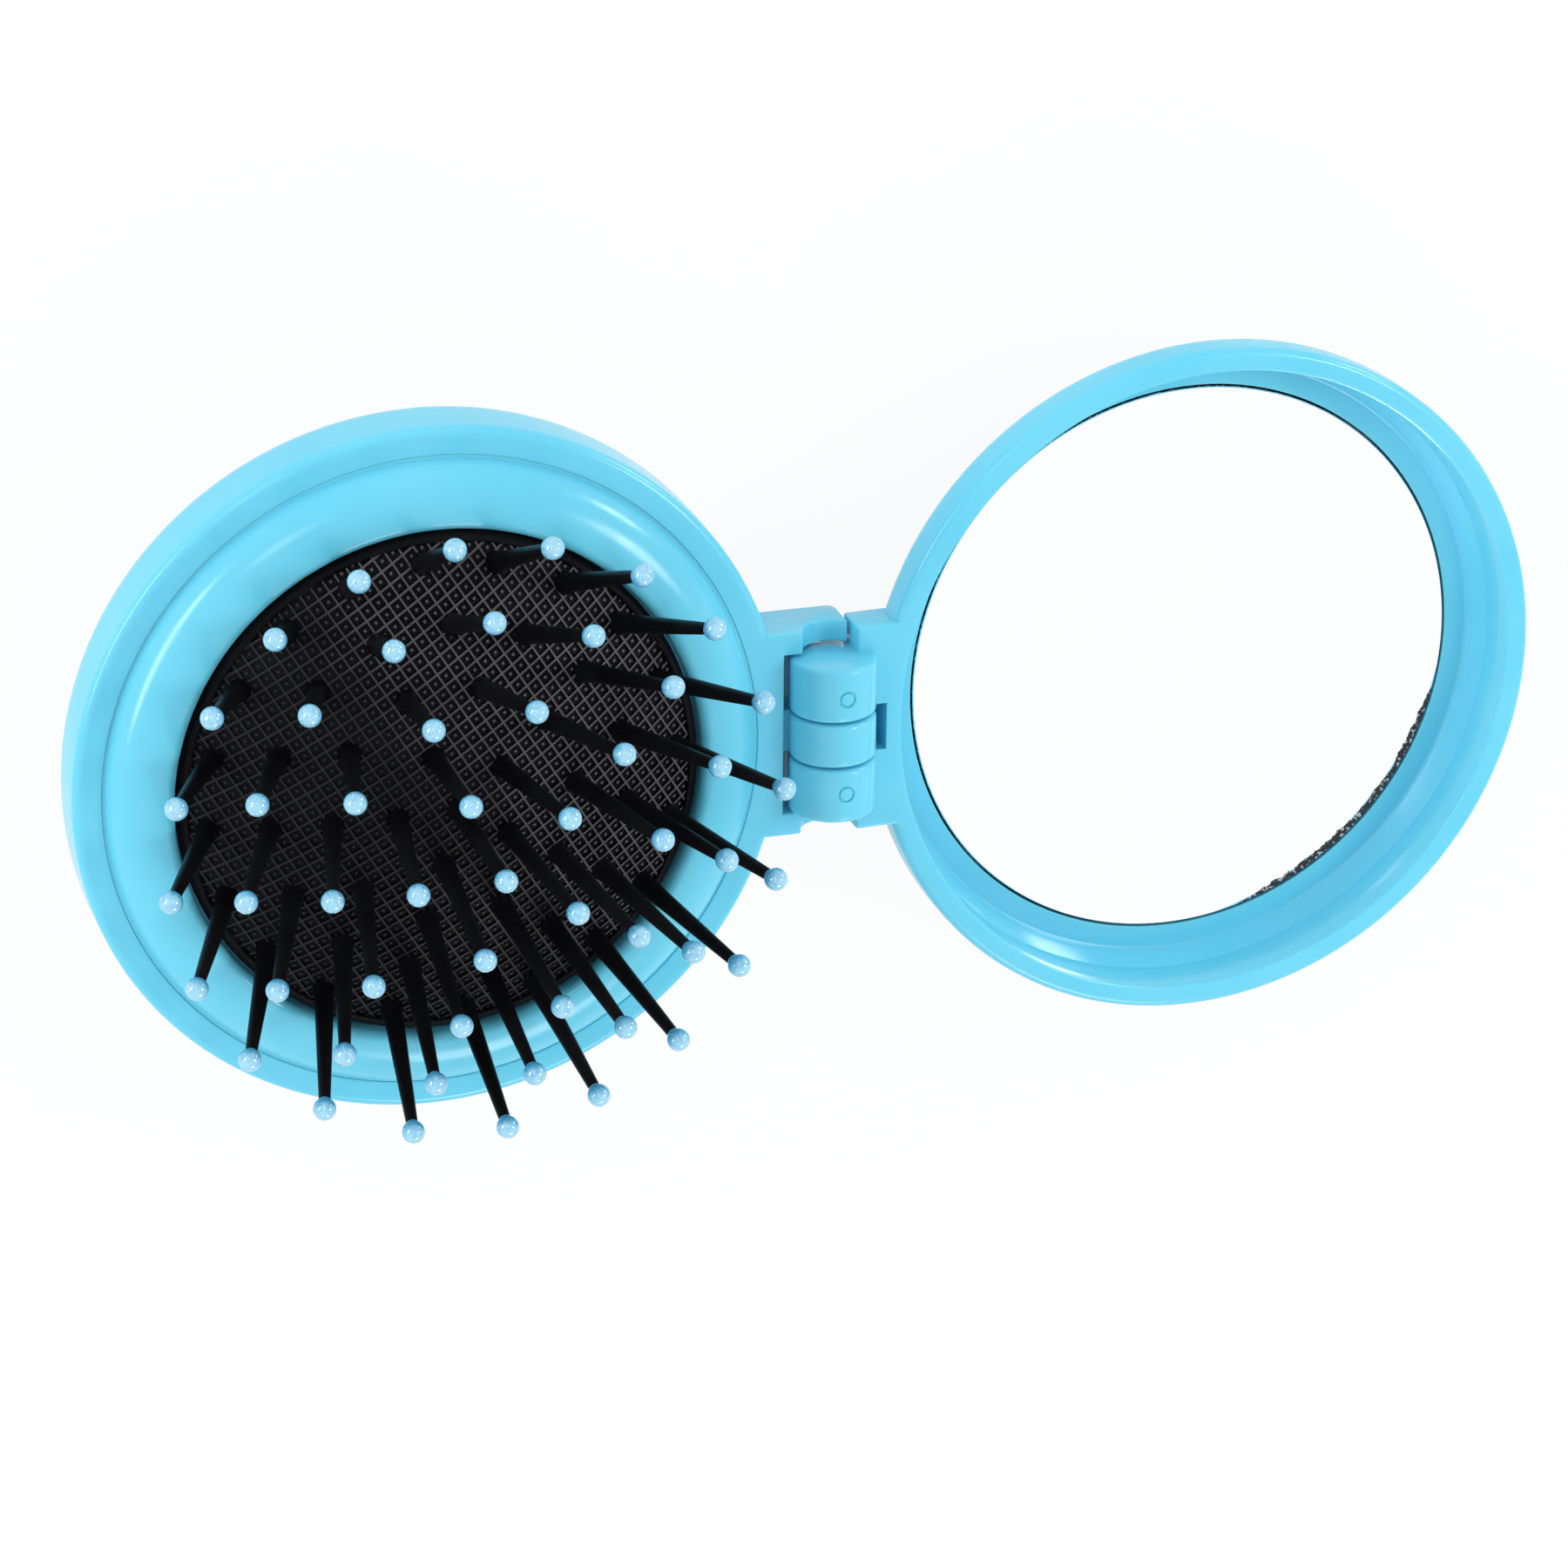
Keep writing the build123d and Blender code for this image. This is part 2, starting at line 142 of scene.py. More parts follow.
class HairbrushSizes(PropertyGroup):
    """Measures of the moulded halves, the cushion and the pins."""

    case_radius: length("Case radius", "Outer radius of the brush case", 0.0325)
    case_height: length("Case height", "Base to the flat top of the rim", 0.0165)
    case_side: length("Case side", "Height of the upright band under the rim", 0.006)
    foot_radius: length("Foot radius", "Radius of the flat back of the case", 0.0262)
    rim_bore: length("Rim bore", "Radius of the bore that takes the bezel", 0.02995)
    groove_gap: length("Groove", "Width of the line between rim and bezel", 0.00025)
    opening_radius: length("Opening", "Radius of the bezel's opening", 0.024)
    bezel_rise: length("Bezel rise", "Height of the bezel's crown above the rim", 0.0032)
    button_radius: length("Button radius", "Radius of the push button in the back", 0.0194)
    button_low: length("Button level", "Height of the button's face above the base", 0.0136)
    cushion_radius: length("Cushion radius", "Radius of the rubber cushion", 0.0237)
    dome_radius: length("Dome radius", "Radius of the sphere that the cushion follows", 0.04535)
    dome_height: length("Dome height", "Height of the cushion's apex above the rim", 0.00841)
    waffle_pitch: length("Waffle pitch", "Distance between the cushion's moulded ridges", 0.00117)
    waffle_ridge: length("Waffle ridge", "Width of a ridge", 0.00018)
    waffle_depth: length("Waffle depth", "Depth of the pits between ridges", 0.00026)
    waffle_turn: angle("Waffle turn", "Turn of the waffle pattern", 31.5)
    waffle_radius: length("Waffle radius", "Where the pattern meets the smooth border", 0.0228)
    pin_root: length("Pin root", "Radius of a pin where it leaves the cushion", 0.00092)
    pin_end: length("Pin end", "Radius of a pin under its ball", 0.00052)
    tip_radius: length("Ball tip", "Radius of a pin's ball tip", 0.00103)
    hinge_offset: length("Hinge offset", "Hinge axis to the centre of each half", 0.03695)
    hinge_rise: length("Hinge rise", "Height of the hinge axis above the case's rim", 0.000295)
    rim_gap: length("Rim gap", "Distance between the rims while the lid is closed", 0.0001)
    knuckle_radius: length("Knuckle radius", "Radius of the hinge knuckles", 0.00395)
    knuckle_round: length("Knuckle rounding", "Rounding of the ends of the knuckles", 0.00042)
    edge_round: length("Edge rounding", "Softening of the hinge block's edges", 0.00025)
    open_angle: angle("Opening angle", "How far the lid stands open", 182.0)
    lid_height: length("Lid height", "Rim to back of the lid", 0.0097)
    lid_side: length("Lid side", "Height of the lid's upright band", 0.0034)
    lid_back_radius: length("Lid back radius", "Radius of the lid's flat back", 0.0284)
    lid_bore: length("Lid bore", "Inner radius of the lid's wall", 0.03038)
    ledge_radius: length("Ledge radius", "Outer radius of the ledge round the mirror", 0.0292)
    mirror_radius: length("Mirror radius", "Radius of the mirror", 0.0268)
    mirror_depth: length("Mirror depth", "Rim to mirror surface", 0.00669)


class HairbrushColours(PropertyGroup):
    """Colours of the mouldings, the rubber, the pins and the mirror."""

    shell: colour("Shell", "Body of the sky-blue moulding", (0.150, 0.625, 0.820))
    shell_shade: colour("Shell shade", "Deeper tone that drifts through the moulding", (0.125, 0.595, 0.795))
    inner: colour("Inner moulding", "Parts inside the case", (0.090, 0.540, 0.860))
    rubber: colour("Cushion", "Black rubber of the cushion", (0.0075, 0.0078, 0.0092))
    # Painted sheen: the ridge colour is lighter than the rubber and stands for light glancing off the ridge tops.
    ridge: colour("Ridge", "Polished tops of the waffle ridges", (0.092, 0.088, 0.096))
    pin: colour("Pin", "Black nylon of the pins", (0.003, 0.003, 0.004))
    # Painted light: the tip colour is the lit, paler top of a ball, and the side colour is painted shade in deeper
    # blue round its sides.
    tip: colour("Ball tip", "Pale top of the translucent ball tips", (0.370, 0.730, 0.930))
    tip_shaded_side: colour("Ball tip side", "Deeper blue round a ball tip's sides", (0.100, 0.470, 0.760))
    glass: colour("Mirror", "Silvered face of the mirror", (0.990, 0.995, 1.000))
    chip: colour("Mirror edge", "Bare backing where the silver has chipped", (0.012, 0.010, 0.010))
    steel: colour("Hinge pin", "Drawn steel of the hinge pin", (0.560, 0.560, 0.580))
    foam: colour("Adhesive", "Pad behind the mirror", (0.780, 0.780, 0.740))


class HairbrushStudio(PropertyGroup):
    """Light levels of the studio."""

    sky: share("Sky", "Level of the even light from all round", 0.75)
    key: share("Key lamp", "Power of the lamp above left, in watts", 0.35)
    fill: share("Fill lamp", "Power of the low lamp on the left, in watts", 2.0)
    streak: share("Streak lamp", "Power of the lamp that draws the sheen on the bezel, in watts", 1.6)
    side: share("Side lamp", "Power of the low lamp on the right, in watts", 1.0)
    front: share("Front lamp", "Power of the lamp in front of the lid, in watts", 0.9)
    floor_glow: share("Floor glow", "How much of the floor's white the camera sees without light", 0.92)


# ---- Modelling, step by step as by hand ----


def settings():
    """The scene's sizes, colours and studio levels."""
    scene = bpy.context.scene
    return scene.hairbrush_sizes, scene.hairbrush_colours, scene.hairbrush_studio


def deselect():
    """Leave edit mode, with nothing selected."""
    if bpy.context.object and bpy.context.object.mode != "OBJECT":
        bpy.ops.object.mode_set(mode="OBJECT")
    bpy.ops.object.select_all(action="DESELECT")


def activate(piece):
    """Select this piece alone."""
    deselect()
    piece.select_set(True)
    bpy.context.view_layer.objects.active = piece


def edit_all(piece):
    """Open the piece in edit mode with all of it selected."""
    activate(piece)
    bpy.ops.object.mode_set(mode="EDIT")
    bpy.ops.mesh.select_all(action="SELECT")


def pick_faces(piece, wanted):
    """Open the piece in edit mode with only the wanted faces selected."""
    edit_all(piece)
    bpy.ops.mesh.select_mode(type="FACE")
    bpy.ops.mesh.select_all(action="DESELECT")
    bpy.ops.object.mode_set(mode="OBJECT")
    for face in piece.data.polygons:
        face.select = wanted(face)
    bpy.ops.object.mode_set(mode="EDIT")


def weld():
    """Merge doubles and turn the faces outward, in edit mode."""
    bpy.ops.mesh.select_all(action="SELECT")
    bpy.ops.mesh.remove_doubles(threshold=WELD)
    bpy.ops.mesh.normals_make_consistent(inside=False)


def traced(name, points):
    """A chain of vertices extruded from point to point, left in edit mode with its ends welded."""
    deselect()
    bpy.ops.mesh.primitive_plane_add(size=MM)
    piece = bpy.context.object
    piece.name = piece.data.name = name
    bpy.ops.object.mode_set(mode="EDIT")
    bpy.ops.mesh.select_mode(type="VERT")
    bpy.ops.mesh.select_all(action="SELECT")
    bpy.ops.mesh.merge(type="CENTER")
    bpy.ops.transform.translate(value=points[0])
    for here, there in zip(points, points[1:]):
        bpy.ops.mesh.extrude_vertices_move(TRANSFORM_OT_translate={"value": there - here})
    bpy.ops.mesh.select_all(action="SELECT")
    bpy.ops.mesh.remove_doubles(threshold=WELD)
    bpy.ops.mesh.select_all(action="SELECT")
    return piece


def rounded(corners, closed=False):
    """Outline points in which each corner (u, v, rounding) has become an arc."""
    made = []
    count = len(corners)
    for index, (u, v, rounding) in enumerate(corners):
        here = Vector((u, v))
        inner = closed or 0 < index < count - 1
        if rounding <= 0 or not inner:
            made.append(here)
            continue
        before = (Vector(corners[index - 1][:2]) - here).normalized()
        after = (Vector(corners[(index + 1) % count][:2]) - here).normalized()
        half = before.angle(after) / 2
        reach = rounding / math.tan(half)
        middle = here + (before + after).normalized() * (rounding / math.sin(half))
        start = here + before * reach - middle
        turn = start.angle_signed(here + after * reach - middle)
        for step in range(ARC_STEPS + 1):
            spoke = start.copy()
            spoke.rotate(Matrix.Rotation(-turn * step / ARC_STEPS, 2))
            made.append(middle + spoke)
    return made


def spun(name, outline, centre=Vector(), closed=False, steps=SPIN_STEPS):
    """A piece turned about the upright axis through centre from an outline of (radius, height)."""
    points = [centre + Vector((radius, 0, height)) for radius, height in outline]
    piece = traced(name, points + points[:1] if closed else points)
    bpy.ops.mesh.spin(steps=steps, angle=math.tau, center=centre, axis=(0, 0, 1))
    weld()
    deselect()
    return piece


def soften(edge, segments=3):
    """Bevel the sharp edges of the piece in edit mode."""
    if edge <= 0:
        return
    bpy.ops.mesh.select_all(action="DESELECT")
    bpy.ops.mesh.select_mode(type="EDGE")
    bpy.ops.mesh.edges_select_sharp(sharpness=SHARP_ANGLE)
    bpy.ops.mesh.bevel(offset=edge, segments=segments, affect="EDGES", clamp_overlap=True)
    bpy.ops.mesh.select_mode(type="VERT")


def slab(name, outline, low, high, edge):
    """A plate cut to an outline of (x, z), from one Y to another, with softened edges."""
    points = [Vector((x, low, z)) for x, z in outline]
    piece = traced(name, points + points[:1])
    bpy.ops.mesh.edge_face_add()
    bpy.ops.mesh.extrude_region_move(TRANSFORM_OT_translate={"value": (0, high - low, 0)})
    weld()
    soften(edge)
    deselect()
    return piece


def both_sides(span):
    """A stretch along the hinge and its mirror image."""
    low, high = span
    return (low, high), (-high, -low)


def box_outline(low_x, high_x, low_z, high_z):
    """The four corners of a rectangle in X and Z."""
    return [(low_x, low_z), (high_x, low_z), (high_x, high_z), (low_x, high_z)]


def drum(name, radius, x, z, low, high, edge=0.0, sides=128):
    """A cylinder along Y with softened ends."""
    deselect()
    bpy.ops.mesh.primitive_cylinder_add(
        vertices=sides, radius=radius, depth=high - low, location=(x, (low + high) / 2, z),
        rotation=(math.pi / 2, 0, 0),
    )
    piece = bpy.context.object
    piece.name = piece.data.name = name
    bpy.ops.object.transform_apply()
    bpy.ops.object.mode_set(mode="EDIT")
    soften(edge)
    deselect()
    return piece


def combine(piece, others, operation):
    """Add the others to the piece, or cut them from it."""
    for other in others:
        activate(piece)
        modifier = piece.modifiers.new("combine", "BOOLEAN")
        modifier.operation = operation
        modifier.solver = "EXACT"
        modifier.object = other
        bpy.ops.object.modifier_apply(modifier=modifier.name)
        bpy.data.objects.remove(other)
    edit_all(piece)
    bpy.ops.mesh.dissolve_degenerate(threshold=WELD)
    weld()
    deselect()


def place(piece, matrix):
    """Move the piece and bake its place into its mesh."""
    activate(piece)
    piece.matrix_world = matrix @ piece.matrix_world
    bpy.context.view_layer.update()
    bpy.ops.object.transform_apply()
    return piece


def merged(name, pieces):
    """One piece from several."""
    deselect()
    for piece in pieces:
        piece.select_set(True)
    bpy.context.view_layer.objects.active = pieces[0]
    bpy.ops.object.join()
    made = bpy.context.object
    made.name = made.data.name = name
    return made


def dress(piece, body, material, nodes):
    """Smooth the piece, give it its material, and let it ride on a body in place of the nodes."""
    activate(piece)
    bpy.ops.object.shade_smooth_by_angle(angle=SHARP_ANGLE)
    if not piece.data.materials:
        piece.data.materials.append(material)
    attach(piece, body)
    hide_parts(*nodes)


def finish_node(node, material):
    """Give a carried-over solid its material."""
    for material_slot in frame["nodes"][node].material_slots:
        material_slot.material = material


# ---- Places ----


def brush_centre():
    """The middle of the brush half, on the base."""
    return Vector((-settings()[0].hinge_offset, 0, 0))


def hinge_height():
    """The hinge axis above the base."""
    sizes = settings()[0]
    return sizes.case_height + sizes.hinge_rise


def lid_opened():
    """From the closed lid, with its rim on z = 0 about its own centre, to the open place."""
    sizes = settings()[0]
    closed = Matrix.Translation(brush_centre() + Vector((0, 0, sizes.case_height + sizes.rim_gap)))
    hinge = Matrix.Translation((0, 0, hinge_height()))
    return hinge @ Matrix.Rotation(sizes.open_angle, 4, "Y") @ hinge.inverted() @ closed


def dome_level(radius, depth=0.0):
    """Height of the cushion's surface at a radius, or of the one a depth below it."""
    sizes = settings()[0]
    sphere = sizes.dome_radius - depth
    return sizes.case_height + sizes.dome_height - sizes.dome_radius + math.sqrt(sphere**2 - radius**2)


# ---- Shared effects ----


def node_group(name, inputs, outputs):
    """An empty shader group with its sockets, and its two end nodes."""
    group = bpy.data.node_groups.new(name, "ShaderNodeTree")
    for direction, sockets in (("INPUT", inputs), ("OUTPUT", outputs)):
        for socket in sockets:
            kind = "NodeSocketColor" if socket in COLOUR_SOCKETS else "NodeSocketFloat"
            group.interface.new_socket(socket, in_out=direction, socket_type=kind)
    return group, group.nodes.new("NodeGroupInput"), group.nodes.new("NodeGroupOutput")


def feed(tree, socket, value):
    """Link another socket to this one, or set it to a plain value."""
    if isinstance(value, bpy.types.NodeSocket):
        tree.links.new(value, socket)
    else:
        socket.default_value = value


def fitted(tree, node, **values):
    """The node, or a new one of a kind, with its sockets fed; an underscore stands for a space."""
    if isinstance(node, str):
        node = tree.nodes.new(node)
    for name, value in values.items():
        feed(tree, node.inputs[name.replace("_", " ")], value)
    return node


def object_place(tree):
    """The object's own coordinates, which are metres in the shared frame."""
    return tree.nodes.new("ShaderNodeTexCoord").outputs["Object"]


def noise(tree, coordinates, scale, detail=2.0, roughness=0.5):
    """A noise texture on the given coordinates."""
    sockets = {"Vector": coordinates, "Scale": scale, "Detail": detail, "Roughness": roughness}
    return fitted(tree, "ShaderNodeTexNoise", **sockets).outputs["Fac"]


def remap(tree, value, low, high, to_low=0.0, to_high=1.0):
    """Stretch a value from one range to another, clamped."""
    sockets = {"Value": value, "From_Min": low, "From_Max": high, "To_Min": to_low, "To_Max": to_high}
    return fitted(tree, "ShaderNodeMapRange", **sockets).outputs["Result"]


def from_centre(tree, coordinates, centre):
    """The X and Y distances from a centre."""
    shift = fitted(tree, "ShaderNodeMapping", Vector=coordinates, Location=-centre)
    axes = fitted(tree, "ShaderNodeSeparateXYZ", Vector=shift.outputs["Vector"]).outputs
    return axes["X"], axes["Y"]


def calc(tree, operation, first, *others):
    """A math operation on sockets or numbers, whose result goes on with each further one."""
    for pair in [(other,) for other in others] or [()]:
        node = tree.nodes.new("ShaderNodeMath")
        node.operation = operation
        for socket, value in zip(node.inputs, (first, *pair)):
            feed(tree, socket, value)
        first = node.outputs["Value"]
    return first


def mix(tree, factor, first, second):
    """A colour mixed from two, which are sockets or colours."""
    node = tree.nodes.new("ShaderNodeMix")
    node.data_type = "RGBA"
    for index, value in ((MIX_FACTOR, factor), (MIX_A, first), (MIX_B, second)):
        feed(tree, node.inputs[index], value)
    return node.outputs[MIX_RESULT]


def seen_white(tree):
    """One for camera, glossy and transmitted rays, to which floor and sky look plain white."""
    rays = tree.nodes.new("ShaderNodeLightPath").outputs
    return calc(tree, "MAXIMUM", rays["Is Camera Ray"], rays["Is Glossy Ray"], rays["Is Transmission Ray"])


def moulded_group():
    """Drift of colour, uneven gloss, fine grain and faint scuffs of a moulded surface."""
    name = "moulded_finish"
    if name in bpy.data.node_groups:
        return bpy.data.node_groups[name]
    inputs = ("Colour", "Shade", "Gloss Low", "Gloss High", "Scuffs")
    group, start, end = node_group(name, inputs, ("Colour", "Roughness", "Height"))
    where = object_place(group)
    drift = remap(group, noise(group, where, 70.0), 0.35, 0.65)
    smear = remap(group, noise(group, where, 420.0, 3.0), 0.45, 0.8)
    grain = noise(group, where, 9000.0)
    turn, scale = (0.3, 0.2, 0.7), (300.0, 5200.0, 2100.0)
    stretch = fitted(group, "ShaderNodeMapping", Vector=where, Rotation=turn, Scale=scale)
    hair = remap(group, noise(group, stretch.outputs["Vector"], 1.0, 1.0), 0.68, 0.74)
    patch = remap(group, noise(group, where, 140.0, 1.0), 0.5, 0.62)
    given = start.outputs
    scuff = calc(group, "MULTIPLY", hair, patch, given["Scuffs"])
    spread = calc(group, "SUBTRACT", given["Gloss High"], given["Gloss Low"])
    gloss = calc(group, "ADD", given["Gloss Low"], calc(group, "MULTIPLY", smear, spread), scuff)
    height = calc(group, "SUBTRACT", calc(group, "MULTIPLY", grain, 0.35), scuff)
    fitted(group, end, Colour=mix(group, drift, given["Colour"], given["Shade"]), Roughness=gloss, Height=height)
    return group


def dust_group():
    """Scattered specks of dust and lint as a mask."""
    name = "fine_dust"
    if name in bpy.data.node_groups:
        return bpy.data.node_groups[name]
    group, start, end = node_group(name, ("Amount",), ("Mask",))
    where = object_place(group)
    speck = remap(group, noise(group, where, 5200.0, 0.0), 0.74, 0.80)
    cloud = remap(group, noise(group, where, 160.0, 3.0), 0.4, 0.7, 0.15)
    fitted(group, end, Mask=calc(group, "MULTIPLY", speck, cloud, start.outputs["Amount"]))
    return group


def effect(tree, group, **values):
    """A shared effect placed in a material with its own values, as the outputs of its node."""
    node = tree.nodes.new("ShaderNodeGroup")
    node.node_tree = group
    return fitted(tree, node, **values).outputs


def rgba(rgb):
    """A colour with full alpha."""
    return (*rgb, 1.0)


def new_material(name):
    """A material with its tree and its Principled shader."""
    material = bpy.data.materials.new(name)
    material.use_nodes = True
    tree = material.node_tree
    return material, tree, tree.nodes["Principled BSDF"]


def moulded_material(name, body, shade, gloss, scuffs, bump, dust=0.0, **constants):
    """Moulded plastic, rubber or nylon, from the shared surface effects."""
    if name in bpy.data.materials:
        return bpy.data.materials[name]
    material, tree, shader = new_material(name)
    finish = effect(
        tree, moulded_group(), Colour=rgba(body), Shade=rgba(shade), Gloss_Low=gloss[0], Gloss_High=gloss[1],
        Scuffs=scuffs,
    )
    tint = finish["Colour"]
    if dust:
        tint = mix(tree, effect(tree, dust_group(), Amount=dust)["Mask"], tint, DUST_GREY)
    relief = fitted(tree, "ShaderNodeBump", Strength=bump, Distance=GRAIN_DEPTH, Height=finish["Height"])
    normal = relief.outputs["Normal"]
    fitted(tree, shader, Base_Color=tint, Roughness=finish["Roughness"], Normal=normal, **constants)
    return material


def shell_material():
    colours = settings()[1]
    return moulded_material(
        "sky_blue_shell", colours.shell, colours.shell_shade, (0.18, 0.25), 0.08, 0.04, Specular_IOR_Level=0.42,
        Subsurface_Weight=0.3, Subsurface_Radius=(0.0002, 0.0009, 0.0013), Subsurface_Scale=1.0,
    )


def inner_material():
    colours = settings()[1]
    return moulded_material("sky_blue_inside", colours.inner, colours.shell_shade, (0.4, 0.5), 0.08, 0.2)


def pin_material():
    colours = settings()[1]
    return moulded_material("black_nylon", colours.pin, colours.rubber, (0.30, 0.42), 0.08, 0.15, dust=0.05,
                             Specular_IOR_Level=0.06)


def tip_material():
    """Frosted translucent ball whose top carries a painted highlight, streaked with noise, and whose sides carry
    painted shade in deeper blue.
    """
    name = "frosted_blue_tip"
    if name in bpy.data.materials:
        return bpy.data.materials[name]
    colours = settings()[1]
    material = moulded_material(
        name, colours.tip, colours.tip, (0.05, 0.10), 0.05, 0.40,
        Subsurface_Weight=0.15, Subsurface_Radius=(0.0003, 0.0006, 0.0008), Subsurface_Scale=1.0,
        Transmission_Weight=0.15, Specular_IOR_Level=0.85, Coat_Weight=0.5, Coat_Roughness=0.06,
    )
    tree = material.node_tree
    shader = tree.nodes["Principled BSDF"]
    level = tree.nodes.new("ShaderNodeAttribute")
    level.attribute_name = TIP_PAINTED_LIGHT
    where = object_place(tree)
    # Painted highlight and shade: the ball is paler the higher it goes, with noise streaks in the highlight, and a
    # deeper blue towards its sides.
    highlight_streaks = calc(tree, "MULTIPLY", calc(tree, "SUBTRACT", noise(tree, where, 2100.0, 2.0, 0.6), 0.5), 2.2)
    top = remap(tree, calc(tree, "ADD", level.outputs["Fac"], highlight_streaks), -0.1, 0.95)
    fitted(tree, shader, Base_Color=mix(tree, top, rgba(colours.tip_shaded_side), rgba(colours.tip)))
    return material


def rubber_material():
    colours = settings()[1]
    return moulded_material("black_rubber", colours.rubber, colours.pin, (0.46, 0.60), 0.12, 0.35, dust=0.12,
                             Specular_IOR_Level=0.05)


def ridge_material():
    """Rubber ridges with a painted sheen, paler towards the side next to the hinge, where light glances off them."""
    name = "rubber_ridge_sheen"
    if name in bpy.data.materials:
        return bpy.data.materials[name]
    colours = settings()[1]
    material = moulded_material(
        name, colours.ridge, colours.ridge, (0.38, 0.50), 0.15, 0.35, dust=0.4, Specular_IOR_Level=0.15
    )
    tree = material.node_tree
    shader = tree.nodes["Principled BSDF"]
    paler = shader.inputs["Base Color"].links[0].from_socket
    where = object_place(tree)
    # Painted sheen: the ridge colour fades in from the plain rubber towards the hinge side, with a noisy edge.
    x, y = from_centre(tree, where, brush_centre())
    drift = calc(tree, "MULTIPLY", noise(tree, where, 160.0), 9 * MM)
    sheen_side = calc(tree, "ADD", calc(tree, "MULTIPLY", x, 0.82), calc(tree, "MULTIPLY", y, 0.57), drift)
    painted_sheen = remap(tree, sheen_side, 4 * MM, 10 * MM, 0.10, 0.85)
    fitted(tree, shader, Base_Color=mix(tree, painted_sheen, rgba(colours.rubber), paler))
    return material


def mirror_material():
    """Silvered glass whose raw edge has chipped along one arc."""
    sizes, colours = settings()[:2]
    material, tree, shader = new_material("mirror_silver")
    centre = lid_opened() @ Vector((0, 0, sizes.mirror_depth))
    where = object_place(tree)
    x, y = from_centre(tree, where, Vector((centre.x, 0.0, 0.0)))
    radius = calc(tree, "SQRT", calc(tree, "ADD", calc(tree, "MULTIPLY", x, x), calc(tree, "MULTIPLY", y, y)))
    turn = calc(tree, "ARCTAN2", y, x)
    ragged = noise(tree, where, 1500.0, 4.0, 0.7)
    coarse = noise(tree, where, 420.0)
    inward = calc(tree, "SUBTRACT", sizes.mirror_radius, radius)
    arc_start = remap(tree, turn, math.radians(-76), math.radians(-68))
    arc_end = remap(tree, turn, math.radians(-18), math.radians(-12), 1.0, 0.0)
    reach = calc(tree, "ADD", calc(tree, "MULTIPLY", ragged, 0.75 * MM), calc(tree, "MULTIPLY", coarse, MM))
    arc = calc(tree, "MULTIPLY", arc_start, arc_end)
    band = calc(tree, "MULTIPLY", calc(tree, "SUBTRACT", reach, 0.12 * MM), arc)
    chipped = calc(tree, "LESS_THAN", inward, calc(tree, "ADD", band, 0.05 * MM))
    flake = remap(tree, noise(tree, where, 2600.0), 0.56, 0.60)
    edge_tint = mix(tree, flake, rgba(colours.chip), FLAKE_GREY)
    haze = remap(tree, noise(tree, where, 90.0), 0.4, 0.7, 0.0, 0.02)
    smudge = mix(tree, haze, rgba(colours.glass), HAZE_BLUE)
    dull = remap(tree, noise(tree, where, 60.0, 3.0), 0.3, 0.7, 0.0, 0.03)
    matt = calc(tree, "MAXIMUM", dull, calc(tree, "MULTIPLY", chipped, 0.45))
    shine = calc(tree, "SUBTRACT", 1.0, calc(tree, "MULTIPLY", chipped, calc(tree, "SUBTRACT", 1.0, flake)))
    fitted(tree, shader, Base_Color=mix(tree, chipped, smudge, edge_tint), Roughness=matt, Metallic=shine)
    return material


# ---- Pieces ----


